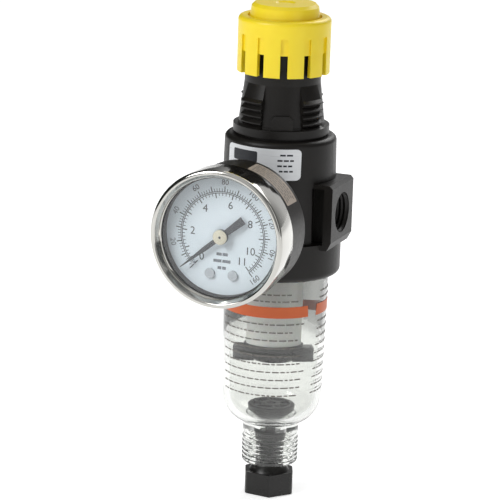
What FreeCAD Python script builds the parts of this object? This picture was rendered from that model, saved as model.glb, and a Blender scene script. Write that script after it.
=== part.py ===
import FreeCAD, Part
import math
import os
import re
import Sketcher

# Miniature filter-regulator for compressed air, with a pressure gauge, a clear bowl and a twist drain.
# Millimetres. +Z is up, along the adjusting screw and the bowl. The origin is where the centre line of
# the two ports crosses that vertical axis. The inlet is at -X, the outlet at +X, the gauge faces -Y.

DRIVING_SIZES = [
    # body
    ("BarrelFootRadius", 18.9, "radius of the barrel above the collar"),
    ("BarrelTopRadius", 18.2, "radius of the barrel at its top, less by the mould's draft"),
    ("BodyTop", 24.2, "height of the body's top above the ports"),
    ("BodyTopRound", 1.7, "rounding of the body's top edge"),
    ("CollarRadius", 20.9, "radius of the collar that the bowl screws into"),
    ("CollarTop", -9.5, "height of the collar's top"),
    ("CollarBottom", -21.6, "height of the collar's bottom edge"),
    ("CollarRound", 1.9, "rounding of the collar's bottom edge"),
    ("PortFace", 22.2, "distance of a port's face from the axis"),
    ("PortHalfWidth", 10.0, "half width of a port block"),
    ("PortTop", 10.4, "height of a port block's top"),
    ("PortSkirt", -11.2, "height of a port block's lowest edge"),
    ("PortFlange", 2.9, "thickness of the flange around a port"),
    ("PocketDepth", 3.2, "depth of the core pocket beside a port"),
    ("PocketWall", 1.4, "wall left above and below a core pocket"),
    ("PortRadius", 6.6, "radius of a 1/4 inch pipe port at mid taper"),
    ("PortDepth", 11.6, "drilled depth of a port"),
    ("GaugePortRadius", 4.6, "radius of a 1/8 inch pipe port"),
    ("GaugePortFace", 19.6, "distance of a gauge port's face from the axis"),
    ("GaugePortBoss", 7.2, "radius of a gauge port's boss"),
    ("GaugePortDepth", 8.4, "drilled depth of a gauge port"),
    ("DuctRadius", 1.9, "radius of the inlet and outlet ducts"),
    ("SenseRadius", 1.0, "radius of the gauge's sensing ducts"),
    ("WebTop", 7.5, "height of the floor of the control chamber"),
    ("WebBottom", -11.0, "height of the underside of the web between the chambers"),
    ("PistonBore", 12.2, "radius of the piston's bore"),
    ("PistonBoreTop", 13.9, "height where the piston's bore meets the bonnet's thread"),
    ("BonnetBore", 14.9, "radius of the bonnet's thread in the body"),
    ("BowlBore", 18.3, "radius of the bowl's thread in the collar"),
    ("ValveBore", 5.6, "radius of the valve's bore through the web"),
    # bonnet
    ("ScrewFit", 0.2, "radial gap of a screwed-in piece"),
    ("BonnetFlangeRadius", 15.7, "radius of the bonnet's flange"),
    ("BonnetFlangeTop", 27.5, "height of the bonnet's flange"),
    ("BonnetGroove", 0.8, "height of the shadow gap under the flange"),
    ("CrestRadius", 15.0, "crest radius of the panel thread"),
    ("CrestDepth", 1.1, "depth of the panel thread"),
    ("ThreadPitch", 2.2, "pitch of the panel thread"),
    ("ThreadTurns", 4, "crests on the panel thread above the flange"),
    ("ReliefFootRadius", 14.1, "radius of the relieved flats beside the flange"),
    ("NeckRadius", 12.4, "radius of the bonnet's neck inside the knob"),
    ("ConeTop", 41.5, "height where the cone meets the neck"),
    ("BonnetTop", 47.0, "height of the bonnet's top"),
    ("BonnetPlate", 3.6, "thickness of the bonnet's top plate"),
    ("SpringBore", 10.2, "radius of the spring's room in the bonnet"),
    ("ReliefSweep", 54, "angle of each relieved flat, in degrees"),
    ("PanelHalfWidth", 3.6, "half width of the raised panel in the front flat"),
    ("PanelHeight", 4.7, "height of that panel above the flange"),
    ("PanelReach", 14.5, "distance of that panel's face from the axis"),
    ("BonnetAim", 21, "turn of the screwed-in bonnet, in degrees"),
    # knob and adjusting screw
    ("KnobRadius", 15.1, "radius over the knob's fins"),
    ("KnobBottom", 44.7, "height of the knob's lower edge"),
    ("KnobRimTop", 62.8, "height of the knob's rim"),
    ("KnobWall", 1.7, "wall of the knob's skirt"),
    ("KnobDeck", 3.0, "thickness of the knob's top"),
    ("KnobEdgeRound", 1.4, "rounding of the knob's top edge"),
    ("SlotTop", 51.9, "height where the open slots of the skirt end"),
    ("FluteTop", 57.3, "height where the flutes run out"),
    ("FluteWidth", 2.4, "width of a slot and of a flute"),
    ("FluteDepth", 0.7, "depth of a flute"),
    ("FluteCount", 12, "slots and flutes around the knob"),
    ("CapRadius", 11.4, "radius of the knob's cap"),
    ("CapTop", 67.0, "height of the cap's top"),
    ("CapSeat", 1.2, "depth of the cap's seat in the knob"),
    ("CapBevel", 1.0, "bevel around the cap's top"),
    ("CapDimple", 3.4, "radius of the dimple in the cap"),
    ("HubRadius", 5.6, "radius of the knob's inner hub"),
    ("HexFlats", 6.0, "size across the flats of the screw's hexagon"),
    ("SlideFit", 0.3, "gap of a sliding piece that is not guided"),
    ("RunningFit", 0.06, "radial gap of a running fit"),
    ("KnobLift", 3.0, "lift that frees the knob to turn"),
    ("JournalRadius", 4.4, "radius of the screw's journal"),
    ("ScrewRadius", 3.0, "radius of the adjusting screw's thread"),
    ("ScrewBottom", 21.5, "height of the screw's lower end"),
    ("ThrustRadius", 7.0, "radius of the screw's thrust collar"),
    ("ThrustHeight", 1.6, "thickness of the thrust collar"),
    ("RestRadius", 9.5, "radius of the spring rest"),
    ("RestHeight", 2.6, "thickness of the spring rest"),
    ("RestHub", 6.2, "radius of the spring rest's hub"),
    # control spring and piston
    ("SpringMean", 7.7, "mean radius of the control spring"),
    ("SpringWire", 1.15, "wire radius of the control spring"),
    ("SpringTurns", 5, "turns of the control spring"),
    ("PistonBottom", 10.0, "height of the piston's underside"),
    ("PistonHeight", 3.1, "thickness of the piston's disc"),
    ("PistonBossRadius", 9.3, "radius of the spring seat on the piston"),
    ("PistonBossHeight", 2.6, "height of the spring seat"),
    ("ReliefHole", 0.8, "radius of the relief hole"),
    ("SealWire", 0.75, "wire radius of the piston's and the bowl's seal rings"),
    # valve
    ("SeatBore", 2.9, "radius of the valve seat's hole"),
    ("SeatBottom", 3.5, "height of the seat's lip"),
    ("SeatHead", 7.0, "radius of the seat's head"),
    ("SeatHeadHeight", 0.9, "thickness of the seat's head"),
    ("PoppetRadius", 4.5, "radius of the valve poppet"),
    ("PoppetHeight", 2.2, "thickness of the valve poppet"),
    ("PoppetStem", 1.2, "radius of the poppet's stem"),
    ("PoppetGap", 0.05, "gap left at a closed valve"),
    ("FaceSealHeight", 0.9, "thickness of the poppet's rubber face"),
    ("GuideCup", 4.9, "inner radius of the valve guide's cup"),
    ("GuideTop", -3.0, "height of the valve guide's rim"),
    ("GuideFloor", -8.5, "height of the valve guide's floor"),
    ("GuideFlange", 7.6, "radius of the valve guide's flange"),
    ("GuideFlangeHeight", 2.0, "thickness of the valve guide's flange"),
    ("TubeRadius", 4.4, "radius of the tube through the filter element"),
    ("TubeWall", 1.0, "wall of that tube"),
    ("WindowHalfWidth", 1.3, "half width of a window in the element's tube"),
    ("ValveWire", 0.35, "wire radius of the valve spring"),
    ("ValveCoil", 3.7, "mean radius of the valve spring"),
    # filter
    ("DeflectorRadius", 15.0, "radius of the swirl deflector"),
    ("DeflectorHeight", 2.0, "thickness of the swirl deflector"),
    ("VaneCount", 12, "swirl slots in the deflector"),
    ("ElementRadius", 8.9, "radius of the filter element"),
    ("ElementWall", 3.0, "wall of the filter element"),
    ("ElementBottom", -45.4, "height of the filter element's lower end"),
    ("BafflePlate", 1.3, "thickness of the baffle's plate"),
    ("BaffleRadius", 9.6, "radius of the baffle's plate"),
    ("WingRadius", 12.8, "reach of the baffle's wings"),
    ("WingWidth", 7.0, "width of a baffle wing"),
    ("BaffleHub", 7.2, "radius of the baffle's hub"),
    ("BaffleBottom", -51.5, "height of the baffle's lower end"),
    ("TailRadius", 2.6, "radius of the threaded tail that holds the baffle"),
    # bowl
    ("BowlTopRadius", 17.45, "radius of the bowl below the collar"),
    ("BowlFootRadius", 16.35, "radius of the bowl where its bottom begins to curve"),
    ("BowlBottom", -74.0, "height of the bowl's bottom"),
    ("BowlBottomRound", 10.0, "radius of the curve at the bowl's bottom"),
    ("BowlWall", 2.2, "wall of the bowl"),
    ("BowlRim", -12.8, "height of the bowl's upper rim"),
    ("BowlSealRadius", 16.75, "mean radius of the bowl's seal ring"),
    ("NeckOuter", 9.3, "radius of the drain neck"),
    ("NeckLength", 13.7, "length of the drain neck below the bowl's bottom"),
    ("NeckBottom", "=BowlBottom - NeckLength", "height of the drain neck's lower end"),
    ("NeckBore", 6.7, "radius of the threaded bore in the neck"),
    ("RoofDepth", 2.2, "depth of the bore's upper end below the bowl's bottom"),
    ("NeckRoof", "=BowlBottom - RoofDepth", "height of the bore's upper end"),
    ("NeckRound", 0.9, "rounding of the neck's lower edge"),
    # drain
    ("DrainBore", 2.9, "radius of the hole through the bowl's bottom"),
    ("StemRadius", 4.6, "radius of the drain stem in the neck"),
    ("SpindleRadius", 1.7, "radius of the spindle through the bowl's bottom"),
    ("PlungerRadius", 7.9, "radius of the drain plunger"),
    ("PlungerHeight", 2.5, "thickness of the plunger"),
    ("DrainSealHeight", 1.6, "height of the drain seal on the bowl's floor"),
    ("PlungerTop", "=BowlBottom + BowlWall + DrainSealHeight + PlungerHeight",
     "height of the plunger's top"),
    ("DrainGap", 3.3, "gap between the neck and the drain knob's shoulder"),
    ("DrainTop", "=NeckBottom - DrainGap", "height of the drain knob's shoulder"),
    ("DrainHeight", 7.4, "height of the drain knob below its shoulder"),
    ("DrainBottom", "=DrainTop - DrainHeight", "height of the drain knob's lower face"),
    ("DrainHalfWidth", 7.9, "half width of the drain knob across its wings"),
    ("DrainReach", 8.3, "reach of the drain knob along its ridge"),
    ("DrainAim", 22, "turn of the drain knob at rest, in degrees"),
    ("DrainRound", 1.8, "rounding of the drain knob's corners"),
    # gauge
    ("CaseRadius", 21.1, "radius of the gauge's case"),
    ("CaseBack", 30.6, "distance of the case's back from the axis"),
    ("CaseFront", 47.4, "distance of the case's front edge from the axis"),
    ("CaseWall", 0.9, "wall of the case"),
    ("BezelSkirt", 1.1, "thickness of the bezel's skirt over the case"),
    ("BezelRadius", "=CaseRadius + BezelSkirt", "radius of the bezel"),
    ("BezelBack", 44.8, "distance of the bezel's back edge from the axis"),
    ("BezelFront", 55.6, "distance of the bezel's front from the axis"),
    ("BezelLip", 1.7, "reach of the bezel's lip inside the case's radius"),
    ("BezelOpening", "=CaseRadius - BezelLip", "radius of the bezel's opening"),
    ("DialPlane", 48.6, "distance of the dial's face from the axis"),
    ("DialThickness", 0.5, "thickness of the dial"),
    ("DialFit", 0.1, "clearance around the dial in the case"),
    ("DialRadius", "=CaseRadius - CaseWall - DialFit", "radius of the dial"),
    ("LensBack", 51.6, "distance of the lens's back from the axis"),
    ("LensThickness", 1.2, "thickness of the lens"),
    ("LensFit", 0.2, "clearance around the lens in the case"),
    ("LensRadius", "=CaseRadius - CaseWall - LensFit", "radius of the lens"),
    ("GasketWidth", 0.9, "width of the lens gasket"),
    ("PointerGap", 1.3, "distance of the pointer in front of the dial"),
    ("PointerThickness", 0.4, "thickness of the pointer"),
    ("PointerLength", 17.6, "length of the pointer from its arbor"),
    ("PointerTail", 9.4, "length of the pointer's tail"),
    ("PointerAngle", 40, "angle of the resting pointer below level, in degrees"),
    ("ArborRadius", 0.7, "radius of the pointer's arbor"),
    ("HubDisc", 2.4, "radius of the pointer's hub"),
    ("SocketHex", 11.0, "size across the flats of the gauge's hexagon"),
    ("SocketRadius", 4.4, "radius of the gauge's stem"),
    ("SocketReach", 7.0, "length of the stem inside the body"),
    ("TubeBend", 13.6, "radius of the Bourdon tube's bend"),
    ("TubeWidth", 4.0, "width of the Bourdon tube"),
    ("TubeThick", 1.6, "thickness of the Bourdon tube"),
    ("SectorRadius", 11.0, "pitch radius of the sector"),
    ("PinionRadius", 1.2, "pitch radius of the pinion"),
    ("PlateThick", 0.8, "thickness of the movement's plates"),
    ("ScrewHead", 1.6, "radius of a dial screw's head"),
    # nameplate
    ("PlateBottom", 12.2, "height of the nameplate's lower edge"),
    ("PlateTop", 22.3, "height of the nameplate's upper edge"),
    ("PlateSweep", 84, "angle of the nameplate around the body, in degrees"),
    ("PlateGauge", 0.35, "thickness of the nameplate"),
]

doc = FreeCAD.newDocument("FilterRegulator")
sheet = doc.addObject("Spreadsheet::Sheet", "Sizes")
for row, (alias, size, meaning) in enumerate(DRIVING_SIZES, start=1):
    sheet.set(f"A{row}", alias)
    sheet.set(f"B{row}", str(size))
    sheet.set(f"C{row}", meaning)
    sheet.setAlias(f"B{row}", alias)
doc.recompute()


def bound(text):
    """An expression on the sheet: every capitalised word in it is an alias."""
    return re.sub(r"\b[A-Z][A-Za-z]*\b", r"Sizes.\g<0>", text)


def amount(text):
    """The number that such an expression gives now."""
    return float(sheet.evalExpression(bound(text)))


def new_piece(name):
    piece = doc.addObject("PartDesign::Body", name)
    piece.Label = name
    return piece


def new_sketch(piece, role, offset=None, aim=None):
    """A sketch on one of the piece's own planes, moved along its normal or turned about its upright."""
    sketch = piece.newObject("Sketcher::SketchObject", f"{piece.Label}_outline")
    plane = next(item for item in piece.Origin.OriginFeatures if item.Role == role)
    sketch.AttachmentSupport = [(plane, "")]
    sketch.MapMode = "FlatFace"
    if offset:
        sketch.setExpression("AttachmentOffset.Base.z", bound(offset))
    if aim:
        upright = FreeCAD.Vector(0, 0, 1) if role == "XY_Plane" else FreeCAD.Vector(0, 1, 0)
        sketch.AttachmentOffset = FreeCAD.Placement(FreeCAD.Vector(), FreeCAD.Rotation(upright, amount(aim)))
        sketch.setExpression("AttachmentOffset.Rotation.Angle", bound(aim))
        if offset:
            sketch.setExpression("AttachmentOffset.Base.z", bound(offset))
    return sketch


def hold_point(sketch, line, end, across, up):
    """Tie one end of a line, or a circle's centre, to the sheet."""
    for kind, axis, text in (("DistanceX", -2, across), ("DistanceY", -1, up)):
        if text == "0":
            sketch.addConstraint(Sketcher.Constraint("PointOnObject", line, end, axis))
        else:
            rule = Sketcher.Constraint(kind, -1, 1, line, end, amount(text))
            index = sketch.addConstraint(rule)
            sketch.setExpression(f"Constraints[{index}]", bound(text))


def draw_outline(sketch, corners):
    """A closed outline of straight lines through corners given as (across, up) expressions."""
    points = [FreeCAD.Vector(amount(across), amount(up), 0) for across, up in corners]
    count = len(points)
    for index in range(count):
        sketch.addGeometry(Part.LineSegment(points[index], points[(index + 1) % count]))
    for index in range(count):
        sketch.addConstraint(Sketcher.Constraint("Coincident", index, 2, (index + 1) % count, 1))
    for index, (across, up) in enumerate(corners):
        hold_point(sketch, index, 1, across, up)


def draw_circle(sketch, radius, across="0", up="0"):
    centre = FreeCAD.Vector(amount(across), amount(up), 0)
    line = sketch.addGeometry(Part.Circle(centre, FreeCAD.Vector(0, 0, 1), amount(radius)))
    hold_point(sketch, line, 3, across, up)
    index = sketch.addConstraint(Sketcher.Constraint("Radius", line, amount(radius)))
    sketch.setExpression(f"Constraints[{index}]", bound(radius))


def rectangle(left, right, low, high):
    return [(left, low), (right, low), (right, high), (left, high)]


def arc_corners(across, up, radius, start, stop, steps):
    """Corners along an arc about (across, up), from start to stop degrees below level."""
    angles = [start + (stop - start) * step / steps for step in range(steps + 1)]
    return [(f"{across} + ({radius}) * cos({angle})", f"{up} - ({radius}) * sin({angle})")
            for angle in angles]


def hexagon(flats):
    """Corners of a hexagon with two flats facing along the sketch's upright."""
    half, reach = f"({flats}) / 2", f"({flats}) / sqrt(3)"
    return [(reach, "0"), (f"{reach} / 2", half), (f"-{reach} / 2", half),
            (f"-{reach}", "0"), (f"-{reach} / 2", f"-{half}"), (f"{reach} / 2", f"-{half}")]


def spin(piece, corners, role="XZ_Plane", cut=False, sweep=None, aim=None):
    """Material turned about the piece's own axis, or a groove of the same kind."""
    sketch = new_sketch(piece, role, aim=aim)
    draw_outline(sketch, corners)
    kind = "PartDesign::Groove" if cut else "PartDesign::Revolution"
    turned = piece.newObject(kind, f"{piece.Label}_{'groove' if cut else 'turned'}")
    turned.Profile = sketch
    turned.ReferenceAxis = (sketch, ["V_Axis"])
    if sweep:
        turned.setExpression("Angle", bound(sweep))
    return turned


def extrude(piece, role, start, length, draw, cut=False, reverse=False, aim=None):
    """A pad, or a pocket, of what draw() puts in a sketch at the distance start."""
    sketch = new_sketch(piece, role, offset=start, aim=aim)
    draw(sketch)
    kind = "PartDesign::Pocket" if cut else "PartDesign::Pad"
    block = piece.newObject(kind, f"{piece.Label}_{'pocket' if cut else 'pad'}")
    block.Profile = sketch
    block.setExpression("Length", bound(length))
    block.Reversed = reverse
    return block


def repeat(piece, feature, count):
    """The same feature again all round the piece's axis."""
    ring = piece.newObject("PartDesign::PolarPattern", f"{piece.Label}_ring")
    ring.Originals = [feature]
    ring.Axis = (feature.Profile[0], ["N_Axis"])
    if feature.TypeId == "PartDesign::Groove":
        ring.Axis = (feature.Profile[0], ["V_Axis"])
    ring.Angle = 360
    ring.setExpression("Occurrences", bound(str(count)))
    piece.Tip = ring
    return ring


def soften(piece, size, chosen, bevel=False):
    """Round or bevel the edges of the piece that chosen(edge) picks."""
    doc.recompute()
    base = piece.Tip
    names = [f"Edge{number}" for number, edge in enumerate(base.Shape.Edges, start=1) if chosen(edge)]
    if not names:
        raise RuntimeError(f"no edge to soften on {piece.Label}")
    kind = "PartDesign::Chamfer" if bevel else "PartDesign::Fillet"
    soft = piece.newObject(kind, f"{piece.Label}_{'bevel' if bevel else 'round'}")
    soft.Base = (base, names)
    soft.setExpression("Size" if bevel else "Radius", bound(size))
    doc.recompute()
    return soft


def circle_at(radius, height, axis="z"):
    """A test for the edge that circles the axis with this radius at this height."""
    def test(edge):
        curve = edge.Curve
        return (isinstance(curve, Part.Circle) and abs(curve.Radius - amount(radius)) < 0.01
                and abs(getattr(curve.Center, axis) - amount(height)) < 0.01
                and abs(getattr(curve.Axis, axis)) > 0.99)
    return test


def coil(name, mean, wire, low, high, turns):
    """A round-wire spring between two heights, one closed piece of wire."""
    piece = new_piece(name)
    sketch = new_sketch(piece, "XZ_Plane")
    draw_circle(sketch, wire, mean, f"{low} + {wire}")
    helix = piece.newObject("PartDesign::AdditiveHelix", f"{name}_helix")
    helix.Profile = sketch
    helix.ReferenceAxis = (sketch, ["V_Axis"])
    helix.Mode = "height-turns-angle"
    helix.setExpression("Height", bound(f"({high}) - ({low}) - 2 * ({wire})"))
    helix.setExpression("Turns", bound(turns))
    return piece


def seal_ring(name, mean, height, wire):
    piece = new_piece(name)
    sketch = new_sketch(piece, "XZ_Plane")
    draw_circle(sketch, wire, mean, height)
    ring = piece.newObject("PartDesign::Revolution", f"{name}_turned")
    ring.Profile = sketch
    ring.ReferenceAxis = (sketch, ["V_Axis"])
    return piece


def barrel_radius(height):
    """The drafted barrel's radius at a height."""
    share = f"(({height}) - CollarTop) / (BodyTop - CollarTop)"
    return f"(BarrelFootRadius + (BarrelTopRadius - BarrelFootRadius) * {share})"


# ---------------------------------------------------------------- body

def make_body():
    piece = new_piece("body")
    spin(piece, [("0", "CollarBottom"), ("CollarRadius", "CollarBottom"), ("CollarRadius", "CollarTop"),
                 ("BarrelFootRadius", "CollarTop"), ("BarrelTopRadius", "BodyTop"), ("0", "BodyTop")])
    extrude(piece, "XZ_Plane", "-PortHalfWidth", "2 * PortHalfWidth", lambda sketch: draw_outline(
        sketch, [("-PortFace", "PortTop - 1"), ("-PortFace + 1", "PortTop"), ("PortFace - 1", "PortTop"),
                 ("PortFace", "PortTop - 1"), ("PortFace", "PortSkirt + 2.7"),
                 ("PortFace - 1.4", "PortSkirt"), ("-PortFace + 1.4", "PortSkirt"),
                 ("-PortFace", "PortSkirt + 2.7")]))
    for side in ("", "-"):
        extrude(piece, "XZ_Plane", f"{side}GaugePortFace", "GaugePortFace",
                lambda sketch: draw_circle(sketch, "GaugePortBoss"), reverse=side == "")
    soften(piece, "BodyTopRound", circle_at("BarrelTopRadius", "BodyTop"))
    soften(piece, "CollarRound", circle_at("CollarRadius", "CollarBottom"))
    for side in ("", "-"):
        outer, inner = f"{side}(PortFace - PortFlange)", f"{side}(PortFace - PortFlange - 4.6)"
        for face in ("", "-"):
            extrude(piece, "XZ_Plane", f"{face}(PortHalfWidth + 0.5)", "PocketDepth + 0.5",
                    lambda sketch: draw_outline(sketch, rectangle(
                        outer, inner, "CollarTop", "PortTop - PocketWall")),
                    cut=True, reverse=face == "-")
    spin(piece, [("0", "WebTop"), ("PistonBore", "WebTop"), ("PistonBore", "PistonBoreTop"),
                 ("BonnetBore", "PistonBoreTop"), ("BonnetBore", "BodyTop + 1"), ("0", "BodyTop + 1")],
         cut=True)
    spin(piece, [("0", "CollarBottom - 1"), ("BowlBore", "CollarBottom - 1"), ("BowlBore", "WebBottom"),
                 ("0", "WebBottom")], cut=True)
    extrude(piece, "XY_Plane", "WebTop + 1", "WebTop - WebBottom + 2",
            lambda sketch: draw_circle(sketch, "ValveBore"), cut=True)
    for side in ("", "-"):
        extrude(piece, "YZ_Plane", f"{side}(PortFace + 1)", "PortDepth + 1",
                lambda sketch: draw_circle(sketch, "PortRadius"), cut=True, reverse=side == "-")
        extrude(piece, "XZ_Plane", f"{side}(GaugePortFace + 1)", "GaugePortDepth + 1",
                lambda sketch: draw_circle(sketch, "GaugePortRadius"), cut=True, reverse=side == "-")
        extrude(piece, "XZ_Plane", f"{side}(GaugePortFace - GaugePortDepth + 1)", "4",
                lambda sketch: draw_circle(sketch, "SenseRadius"), cut=True, reverse=side == "-")
        extrude(piece, "XY_Plane", "WebTop + 1", "WebTop + 1", lambda sketch: draw_circle(
            sketch, "SenseRadius", "0", f"{side}(GaugePortFace - GaugePortDepth - 1.8)"), cut=True)
    duct = "(PortFace - PortDepth)"
    extrude(piece, "XY_Plane", "WebTop + 1", "WebTop + 1",
            lambda sketch: draw_circle(sketch, "DuctRadius", f"{duct} - 0.4"), cut=True)
    extrude(piece, "XY_Plane", "WebBottom - 1", "1 - WebBottom",
            lambda sketch: draw_circle(sketch, "DuctRadius", f"-{duct} - 1.5"), cut=True, reverse=True)
    return piece


def make_nameplate():
    piece = new_piece("nameplate")
    gap = "0.02"
    low = f"{barrel_radius('PlateBottom')} + {gap}"
    high = f"{barrel_radius('PlateTop')} + {gap}"
    spin(piece, [(low, "PlateBottom"), (f"{low} + PlateGauge", "PlateBottom"),
                 (f"{high} + PlateGauge", "PlateTop"), (high, "PlateTop")],
         sweep="PlateSweep", aim="-90 - PlateSweep / 2")
    return piece


def make_rear_plug():
    """The hexagon-socket plug in the spare gauge port."""
    piece = new_piece("rear_port_plug")
    extrude(piece, "XZ_Plane", "-(GaugePortFace - 0.4)", "GaugePortDepth - 1.6",
            lambda sketch: draw_circle(sketch, "GaugePortRadius - ScrewFit"))
    extrude(piece, "XZ_Plane", "-(GaugePortFace + 0.6)", "4.2",
            lambda sketch: draw_outline(sketch, hexagon("4.8")), cut=True, reverse=True)
    return piece


# ---------------------------------------------------------------- bonnet and adjustment

def make_bonnet():
    piece = new_piece("bonnet")
    outer = [("SpringBore", "PistonBoreTop + 0.1"), ("BonnetBore - ScrewFit", "PistonBoreTop + 0.1"),
             ("BonnetBore - ScrewFit", "BodyTop"), ("BonnetBore", "BodyTop"),
             ("BonnetBore", "BodyTop + BonnetGroove"), ("BonnetFlangeRadius", "BodyTop + BonnetGroove"),
             ("BonnetFlangeRadius", "BonnetFlangeTop")]
    for turn in range(int(amount("ThreadTurns"))):
        foot = f"BonnetFlangeTop + {turn} * ThreadPitch"
        outer += [("CrestRadius - CrestDepth", f"{foot} + 0.30 * ThreadPitch"),
                  ("CrestRadius", f"{foot} + 0.72 * ThreadPitch"),
                  ("CrestRadius", f"{foot} + 0.88 * ThreadPitch")]
    cone_foot = "BonnetFlangeTop + (ThreadTurns + 0.3) * ThreadPitch"
    outer += [("CrestRadius - CrestDepth", cone_foot), ("NeckRadius", "ConeTop"),
              ("NeckRadius", "BonnetTop"),
              ("JournalRadius + RunningFit", "BonnetTop"),
              ("JournalRadius + RunningFit", "BonnetTop - BonnetPlate"),
              ("SpringBore", "BonnetTop - BonnetPlate")]
    spin(piece, outer)
    relief = spin(piece, [("ReliefFootRadius", "BonnetFlangeTop"), ("CrestRadius + 1", "BonnetFlangeTop"),
                          ("CrestRadius + 1", "ConeTop"), ("NeckRadius", "ConeTop")],
                  cut=True, sweep="ReliefSweep", aim="BonnetAim - 90 - ReliefSweep / 2")
    repeat(piece, relief, 4)
    extrude(piece, "XY_Plane", "BonnetFlangeTop - 0.5", "PanelHeight + 0.5",
            lambda sketch: draw_outline(sketch, rectangle(
                "-PanelHalfWidth", "PanelHalfWidth", "-PanelReach", "-SpringBore - 1")), aim="BonnetAim")
    panel_top = amount("BonnetFlangeTop + PanelHeight")
    soften(piece, "1.1", lambda edge: edge.Length < amount("PanelReach - SpringBore")
           and isinstance(edge.Curve, Part.Line) and abs(edge.Curve.Direction.z) < 0.01
           and abs(edge.CenterOfMass.z - panel_top) < 0.01, bevel=True)
    return piece


def make_knob():
    piece = new_piece("adjusting_knob")
    inner = "KnobRadius - KnobWall"
    deck = "KnobRimTop - KnobDeck"
    spin(piece, [("0", deck), (inner, deck), (inner, "KnobBottom"), ("KnobRadius", "KnobBottom"),
                 ("KnobRadius", "KnobRimTop"), ("CapRadius + 0.7", "KnobRimTop"),
                 ("CapRadius + 0.7", "KnobRimTop - CapSeat"), ("0", "KnobRimTop - CapSeat")])
    soften(piece, "KnobEdgeRound", circle_at("KnobRadius", "KnobRimTop"))
    spin(piece, [("0", "BonnetTop + 0.5"), ("HubRadius", "BonnetTop + 0.5"), ("HubRadius", f"{deck} + 0.5"),
                 ("0", f"{deck} + 0.5")])
    slot = extrude(piece, "XY_Plane", "KnobBottom - 1", "SlotTop - KnobBottom + 1",
                   lambda sketch: draw_outline(sketch, rectangle(
                       f"{inner} - 0.6", "KnobRadius + 1", "-FluteWidth / 2", "FluteWidth / 2")),
                   cut=True, reverse=True, aim="BonnetAim - 90")
    repeat(piece, slot, "FluteCount")
    flute = extrude(piece, "XY_Plane", "SlotTop - 0.5", "FluteTop - SlotTop + 0.5",
                    lambda sketch: draw_outline(sketch, rectangle(
                        "KnobRadius - FluteDepth", "KnobRadius + 1", "-FluteWidth / 2", "FluteWidth / 2")),
                    cut=True, reverse=True, aim="BonnetAim - 90")
    repeat(piece, flute, "FluteCount")
    extrude(piece, "XY_Plane", "BonnetTop", f"{deck} - BonnetTop - 0.5",
            lambda sketch: draw_outline(sketch, hexagon("HexFlats + 2 * SlideFit")), cut=True, reverse=True)
    return piece


def make_knob_cap():
    piece = new_piece("knob_cap")
    spin(piece, [("0", "KnobRimTop - CapSeat"), ("CapRadius", "KnobRimTop - CapSeat"),
                 ("CapRadius", "KnobRimTop"), ("CapRadius - 0.5", "CapTop - CapBevel"),
                 ("CapRadius - 0.5 - CapBevel", "CapTop"), ("CapDimple", "CapTop"),
                 ("CapDimple - 0.6", "CapTop - 0.5"), ("0", "CapTop - 0.5")])
    return piece


def make_adjusting_screw():
    """A hexagon for the knob, a journal in the bonnet, a thrust collar and the thread below it."""
    piece = new_piece("adjusting_screw")
    under = "BonnetTop - BonnetPlate - RunningFit"
    spin(piece, [("0", "ScrewBottom"), ("ScrewRadius - 0.6", "ScrewBottom"),
                 ("ScrewRadius", "ScrewBottom + 0.6"), ("ScrewRadius", f"{under} - ThrustHeight"),
                 ("ThrustRadius", f"{under} - ThrustHeight"), ("ThrustRadius", under),
                 ("JournalRadius", under), ("JournalRadius", "BonnetTop + 0.2"), ("0", "BonnetTop + 0.2")])
    extrude(piece, "XY_Plane", "BonnetTop + 0.2", "KnobRimTop - KnobDeck - KnobLift - BonnetTop + 2.2",
            lambda sketch: draw_outline(sketch, hexagon("HexFlats")))
    return piece


REST_TOP = "(BonnetTop - BonnetPlate - RunningFit - ThrustHeight - 0.6)"


def make_spring_rest():
    piece = new_piece("spring_rest")
    bore = "ScrewRadius + RunningFit"
    spin(piece, [(bore, f"{REST_TOP} - RestHeight - 2.4"), ("RestHub", f"{REST_TOP} - RestHeight - 2.4"),
                 ("RestHub", f"{REST_TOP} - RestHeight"), ("RestRadius", f"{REST_TOP} - RestHeight"),
                 ("RestRadius", REST_TOP), (bore, REST_TOP)])
    return piece


SPRING_FOOT = "PistonBottom + PistonHeight + PistonBossHeight"


def make_control_spring():
    return coil("control_spring", "SpringMean", "SpringWire", SPRING_FOOT,
                f"{REST_TOP} - RestHeight", "SpringTurns")


def make_piston():
    """The control piston: relief hole, seal groove and a seat for the spring."""
    piece = new_piece("piston")
    rim = "PistonBore - RunningFit"
    middle = "PistonBottom + PistonHeight / 2"
    spin(piece, [("ReliefHole", "PistonBottom"), (rim, "PistonBottom"), (rim, f"{middle} - SealWire - 0.1"),
                 ("PistonBore - 2 * SealWire", f"{middle} - SealWire - 0.1"),
                 ("PistonBore - 2 * SealWire", f"{middle} + SealWire + 0.1"),
                 (rim, f"{middle} + SealWire + 0.1"), (rim, "PistonBottom + PistonHeight"),
                 ("PistonBossRadius", "PistonBottom + PistonHeight"),
                 ("PistonBossRadius", SPRING_FOOT), ("SpringMean - 2.4", SPRING_FOOT),
                 ("SpringMean - 2.4", "PistonBottom + PistonHeight - 1"),
                 ("ReliefHole", "PistonBottom + PistonHeight - 1")])
    return piece


# ---------------------------------------------------------------- valve

def make_valve_seat():
    piece = new_piece("valve_seat")
    spin(piece, [("SeatBore", "SeatBottom"), ("SeatBore + 0.5", "SeatBottom"),
                 ("SeatBore + 0.9", "SeatBottom + 0.5"), ("ValveBore - 0.02", "SeatBottom + 0.5"),
                 ("ValveBore - 0.02", "WebTop"), ("SeatHead", "WebTop"),
                 ("SeatHead", "WebTop + SeatHeadHeight"), ("SeatBore", "WebTop + SeatHeadHeight")])
    return piece


POPPET_TOP = "(SeatBottom - PoppetGap - FaceSealHeight)"


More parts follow.
